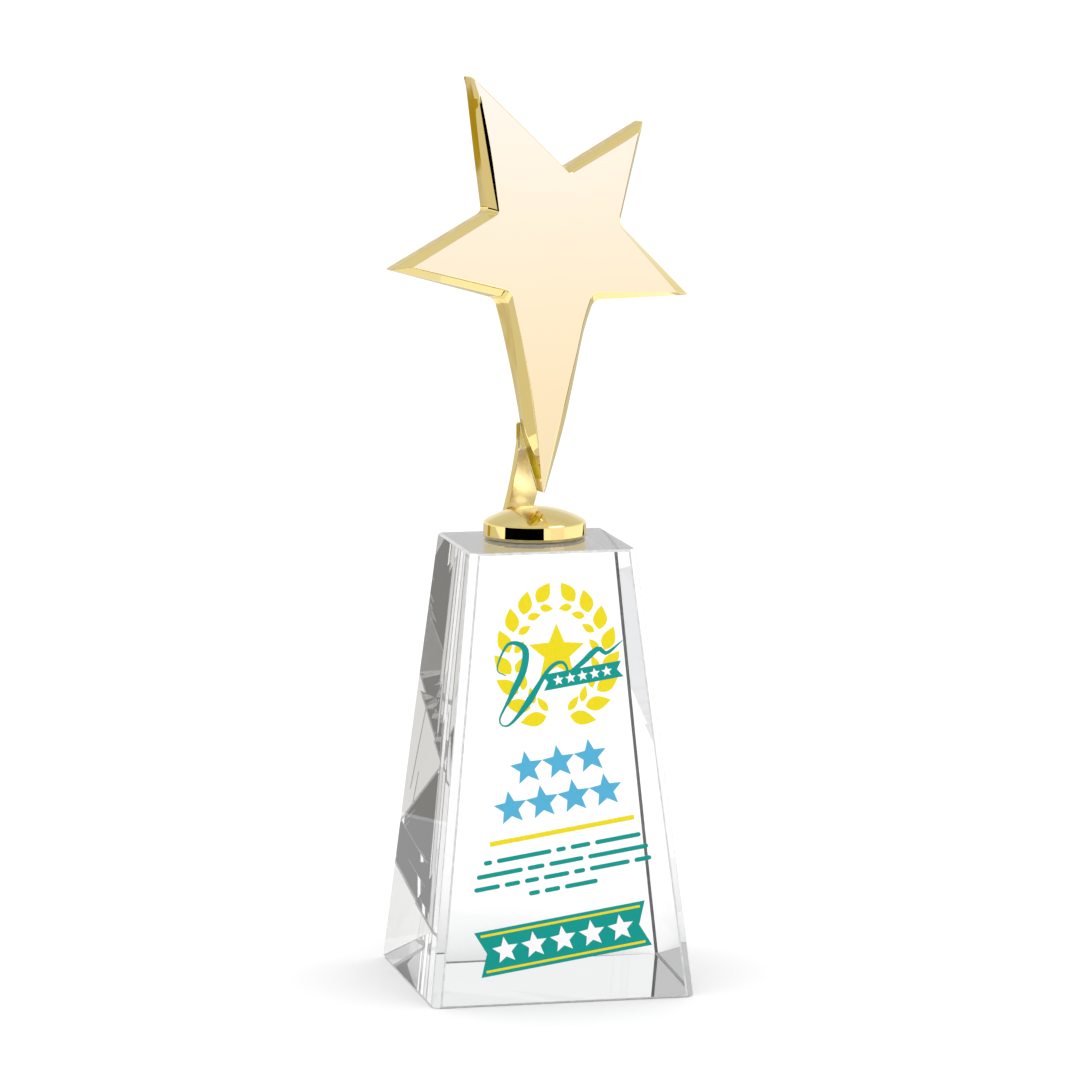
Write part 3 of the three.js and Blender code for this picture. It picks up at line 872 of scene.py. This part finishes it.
def printing():
    """Generic shapes in the places and colours of the photo's print, and no lettering."""
    yellow_shapes = wreath((0.0, 115.5), (15.4, 19.2))
    yellow_shapes.append(star_shape((0.0, 117.0), 10.0))
    yellow_shapes.append(bar((-24.3, 54.0), (25.2, 61.3), 1.6, False))
    flourish = stroke([(-17.5, 110.0), (-20.5, 112.5), (-16.5, 120.5), (-11.0, 119.0),
                       (-11.5, 112.0), (-15.5, 104.0), (-20.0, 95.5), (-17.0, 93.5),
                       (-10.5, 100.5), (-3.0, 111.5), (1.5, 114.0), (3.5, 111.5), (3.0, 109.5),
                       (8.5, 113.5), (14.0, 118.0), (17.0, 116.5), (22.5, 120.5)],
                      [0.3, 0.6, 1.0, 2.3, 2.4, 2.2, 0.9, 0.5, 1.3, 2.4, 1.6, 1.3, 0.8, 1.5,
                       2.1, 1.3, 0.3])
    teal_shapes = []
    small = [(-13.8, -2.7), (13.8, -2.7), (12.0, 0.0), (13.8, 2.7), (-13.8, 2.7), (-12.0, 0.0)]
    teal_shapes.append(slanted((8.6, 109.2), small))
    rows = [(0.4, 51.6, [3, 19, 3.5, 7, 16]), (0.4, 47.3, [16, 6, 12, 21]),
            (0.4, 43.2, [9, 5.5, 5, 9, 4, 14, 6]), (0.4, 38.8, [4, 5.5, 11.5])]
    gap = 1.5
    for x, y, words in rows:
        cursor = -(sum(words) + gap * (len(words) - 1)) / 2
        for word in words:
            ends = [(cursor + 0.8, 0), (cursor + word - 0.8, 0)]
            teal_shapes.append(bar(*slanted((x, y), ends), 1.5))
            cursor += word + gap
    ribbon = [(-29.6, -7.6), (29.6, -7.6), (26.4, 0.0), (29.6, 7.6), (-29.6, 7.6), (-26.4, 0.0)]
    centre = (0.0, 21.4)
    teal_shapes.append(slanted(centre, ribbon))
    piping = [bar(*slanted(centre, [(-27.6, y), (27.6, y)]), 0.8, False) for y in (-6.0, 6.0)]
    blue_shapes = [star_shape(slanted((-0.2, 80.6), [(x, 0)])[0], 5.9, SLANT)
                   for x in (-11.0, 0.0, 11.0)]
    blue_shapes += [star_shape(slanted((-0.6, 68.2), [(x, 0)])[0], 5.9, SLANT)
                    for x in (-16.5, -5.5, 5.5, 16.5)]
    white_shapes = [star_shape(slanted(centre, [(x, 0)])[0], 4.6, SLANT)
                    for x in (-20.0, -10.0, 0.0, 10.0, 20.0)]
    white_shapes += [star_shape(slanted((8.6, 109.2), [(x, 0)])[0], 1.9, SLANT)
                     for x in (-8.4, -4.2, 0.0, 4.2, 8.4)]
    printed("print_yellow", yellow_shapes, 0, yellow, "yellow_ink")
    printed("print_teal", teal_shapes, 1, teal, "teal_ink", [flourish])
    printed("print_piping", piping, 2, yellow, "yellow_ink")
    printed("print_blue", blue_shapes, 0, blue, "blue_ink")
    printed("print_white", white_shapes, 2, white, "white_ink")


printing()


# ------------------------------------------------------------------ floor, light and camera

SECTOR_HEIGHT = 0.001           # metres, like all sizes of the studio but the low cards' corners
LOW_CARD_HEIGHT = 0.0012
FIGURE_CENTRE = 0.2             # height that the key card faces


def emitter(name, colour, strength):
    material = bpy.data.materials.new(name)
    material.use_nodes = True
    nodes = material.node_tree.nodes
    nodes.clear()
    glow = nodes.new("ShaderNodeEmission")
    glow.inputs["Color"].default_value = (*colour, 1)
    glow.inputs["Strength"].default_value = strength
    out = nodes.new("ShaderNodeOutputMaterial")
    material.node_tree.links.new(glow.outputs["Emission"], out.inputs["Surface"])
    return material


def card(name, bm, colour, strength, glossy=True, transmission=False, diffuse=False):
    """A glowing card from a bmesh in metres. The camera never sees it: only reflections, rays
    through the crystal or matt surfaces do."""
    mesh = bpy.data.meshes.new(name)
    bm.to_mesh(mesh)
    bm.free()
    obj = bpy.data.objects.new(name, mesh)
    bpy.context.collection.objects.link(obj)
    obj.data.materials.append(emitter(name, colour, strength))
    obj.visible_camera = False
    obj.visible_shadow = False
    obj.visible_diffuse = diffuse
    obj.visible_volume_scatter = diffuse
    obj.visible_glossy = glossy
    obj.visible_transmission = transmission
    return obj


def ribbon(rims, start, end, steps):
    """A strip bent round the object between two rims, each [radius, height] in metres, from one
    azimuth to another; azimuths are in degrees from the front towards the right."""
    bm = bmesh.new()
    rows = []
    for radius, height in rims:
        row = []
        for i in range(steps + 1):
            a = math.radians(start + (end - start) * i / steps)
            row.append(bm.verts.new((radius * math.sin(a), -radius * math.cos(a), height)))
        rows.append(row)
    for i in range(steps):
        bm.faces.new((rows[0][i], rows[0][i + 1], rows[1][i + 1], rows[1][i]))
    return bm


def sector(name, near, far, start, end, colour, strength):
    """A flat card lying level round the object, for the gold to reflect."""
    bm = ribbon(((near, SECTOR_HEIGHT), (far, SECTOR_HEIGHT)), start, end, 48)
    card(name, bm, colour, strength)


def curtain(name, radius, start, end, low, high, colour, strength, glossy=True,
            transmission=False):
    """An upright card bent round the object."""
    bm = ribbon(((radius, low), (radius, high)), start, end, 32)
    card(name, bm, colour, strength, glossy, transmission)


def standing(name, distance, azimuth, width, low, high, colour, strength):
    """A flat card standing upright at an azimuth, facing the object."""
    a = math.radians(azimuth)
    out = Vector((math.sin(a), -math.cos(a), 0))
    across = Vector((math.cos(a), math.sin(a), 0))
    corners = [out * distance + across * sx * width / 2 + Vector((0, 0, z))
               for z in (low, high) for sx in (-1, 1)]
    bm = bmesh.new()
    verts = [bm.verts.new(p) for p in corners]
    bm.faces.new((verts[0], verts[1], verts[3], verts[2]))
    return card(name, bm, colour, strength)


def floor():
    """The white table."""
    bm = bmesh.new()
    bmesh.ops.create_circle(bm, cap_ends=True, segments=96, radius=0.75)
    mesh = bpy.data.meshes.new("floor")
    bm.to_mesh(mesh)
    bm.free()
    obj = bpy.data.objects.new("floor", mesh)
    obj.location = (0, 0, -0.0002)
    bpy.context.collection.objects.link(obj)
    look = Look("floor_white", Roughness=0.8)
    look.shader.inputs["Specular IOR Level"].default_value = 0.0
    look.tint(look.noise(2, 1), (0.86, 0.86, 0.86), (0.87, 0.87, 0.87))
    obj.data.materials.append(look.material)


floor()


def height_colour(tree, coordinate, stops):
    """A colour that changes with the height of a texture coordinate, as (height, colour) stops."""
    coords = tree.nodes.new("ShaderNodeTexCoord")
    split = tree.nodes.new("ShaderNodeSeparateXYZ")
    ramp = tree.nodes.new("ShaderNodeValToRGB")
    tree.links.new(coords.outputs[coordinate], split.inputs["Vector"])
    tree.links.new(split.outputs["Z"], ramp.inputs["Fac"])
    elements = ramp.color_ramp.elements
    for element, (position, colour) in ((elements[0], stops[0]), (elements[1], stops[-1])):
        element.position, element.color = position, (*colour, 1)
    for position, colour in stops[1:-1]:
        elements.new(position).color = (*colour, 1)
    return ramp.outputs["Color"]


def studio_world():
    """White below the horizon, like an endless table, and a softer grey room above it."""
    world = bpy.data.worlds.new("studio")
    bpy.context.scene.world = world
    world.use_nodes = True
    tree = world.node_tree
    stops = [(0.0, (1.1, 1.1, 1.1)), (0.05, (0.9, 0.9, 0.9)), (0.26, (0.86, 0.86, 0.86)),
             (0.4, (0.7, 0.69, 0.66)), (0.7, (0.62, 0.61, 0.6)), (1.0, (0.75, 0.75, 0.75))]
    back = tree.nodes["Background"]
    tree.links.new(height_colour(tree, "Generated", stops), back.inputs["Color"])


studio_world()


def softbox(name, location, size, power):
    """A square lamp that faces the middle of the object and lights matt surfaces only."""
    data = bpy.data.lights.new(name, "AREA")
    data.shape = "RECTANGLE"
    data.size, data.size_y = size
    data.energy = power
    obj = bpy.data.objects.new(name, data)
    obj.location = location
    toward = Vector((0, 0, 0.15)) - Vector(location)
    obj.rotation_euler = toward.to_track_quat("-Z", "Y").to_euler()
    bpy.context.collection.objects.link(obj)
    obj.visible_glossy = False
    obj.visible_transmission = False


softbox("top_softbox", (0.2, -0.3, 2.2), (1.6, 1.6), 6)


def scrim():
    """A wide overhead sheet that only lights matt surfaces."""
    bm = bmesh.new()
    bmesh.ops.create_grid(bm, x_segments=1, y_segments=1, size=6.0)
    bmesh.ops.translate(bm, vec=(0, 0, 2.5), verts=bm.verts)
    card("scrim", bm, (1, 1, 1), 1.25, glossy=False, diffuse=True)


scrim()


def facing(name, azimuth, elevation, distance, width, height, colour, strength):
    """A flat card facing the figure from an azimuth and an elevation."""
    a, e = math.radians(azimuth), math.radians(elevation)
    out = Vector((math.sin(a) * math.cos(e), -math.cos(a) * math.cos(e), math.sin(e)))
    across = Vector((math.cos(a), math.sin(a), 0))
    rise = across.cross(-out)
    centre = Vector((0, 0, FIGURE_CENTRE)) + out * distance
    bm = bmesh.new()
    verts = [bm.verts.new(centre + across * sx * width / 2 + rise * sy * height / 2)
             for sx, sy in ((-1, -1), (1, -1), (1, 1), (-1, 1))]
    bm.faces.new(verts)
    card(name, bm, colour, strength)


def graded(obj, stops):
    """Gives a standing card a colour that changes with its height."""
    tree = obj.data.materials[0].node_tree
    glow = next(n for n in tree.nodes if n.bl_idname == "ShaderNodeEmission")
    tree.links.new(height_colour(tree, "Object", stops), glow.inputs["Color"])


def low_card(name, corners, colour):
    """A flat card on the floor behind the pillar, seen only through the crystal; corners in mm."""
    bm = bmesh.new()
    bm.faces.new([bm.verts.new((x * MM, y * MM, LOW_CARD_HEIGHT)) for x, y in corners])
    card(name, bm, colour, 1.0, glossy=False, transmission=True)


sector("black_front_left", 0.75, 2.6, -82, 8, (0, 0, 0), 0)
curtain("black_front_curtain", 1.15, -82, 8, 0.002, 0.36, (0, 0, 0), 0)
sector("dark_right", 0.75, 1.6, 92, 130, (0.05, 0.04, 0.02), 0.5)
sector("tan_right", 0.4, 2.6, 130, 162, (0.62, 0.6, 0.55), 1.0)
sector("grey_near_back", 0.06, 0.4, 181, 215, (0.88, 0.88, 0.885), 1.0)
low_card("strip_near", [(-9, 150), (-4, 150), (-7, 230), (-24, 230)], (0.91, 0.91, 0.92))
low_card("strip_far", [(-24, 230), (-7, 230), (-30, 430), (-60, 430)], (0.82, 0.82, 0.83))
sector("tan_left", 0.41, 2.6, 168, 278, (0.68, 0.66, 0.62), 1.0)
sector("tan_near_left", 0.2, 0.75, -93, -50, (0.68, 0.66, 0.62), 1.0)
curtain("grey_back_left", 0.9, 186, 206, 0.08, 0.5, (0.5, 0.5, 0.505), 1.0, False, True)
curtain("olive_left", 1.1, 218, 230, 0.05, 0.11, (0.42, 0.31, 0.02), 1.0)
star_card = standing("star_card", 1.15, 40, 0.7, 0.0, 0.6, (1, 1, 1), 1.0)
graded(star_card, [(0.0, (0.93, 0.84, 0.7)), (0.1, (1.02, 0.93, 0.9)), (0.24, (1.2, 1.07, 1.36))])
facing("key_card", 50, 43, 1.3, 0.7, 0.5, (1, 1, 1), 4.5)


def camera():
    """Placed by a fit to the photo's pillar corners; lens and sensor in mm, the rest in metres."""
    azimuth, distance, height = math.radians(12.34), 2.0, 0.4296
    look_down, look_right = math.radians(7.953), math.radians(12.37)
    data = bpy.data.cameras.new("camera")
    data.lens = 199.4
    data.sensor_width = 36.0
    data.clip_start = 0.05
    data.clip_end = 50.0
    obj = bpy.data.objects.new("camera", data)
    obj.location = (-math.sin(azimuth) * distance, -math.cos(azimuth) * distance, height)
    obj.rotation_euler = (math.pi / 2 - look_down, 0, -look_right)
    bpy.context.collection.objects.link(obj)
    bpy.context.scene.camera = obj


camera()

scene = bpy.context.scene
scene.view_settings.view_transform = "Standard"
scene.view_settings.look = "None"
scene.cycles.max_bounces = 32
scene.cycles.transmission_bounces = 24
scene.cycles.glossy_bounces = 16
scene.cycles.transparent_max_bounces = 16
scene.cycles.caustics_reflective = True
scene.cycles.caustics_refractive = True
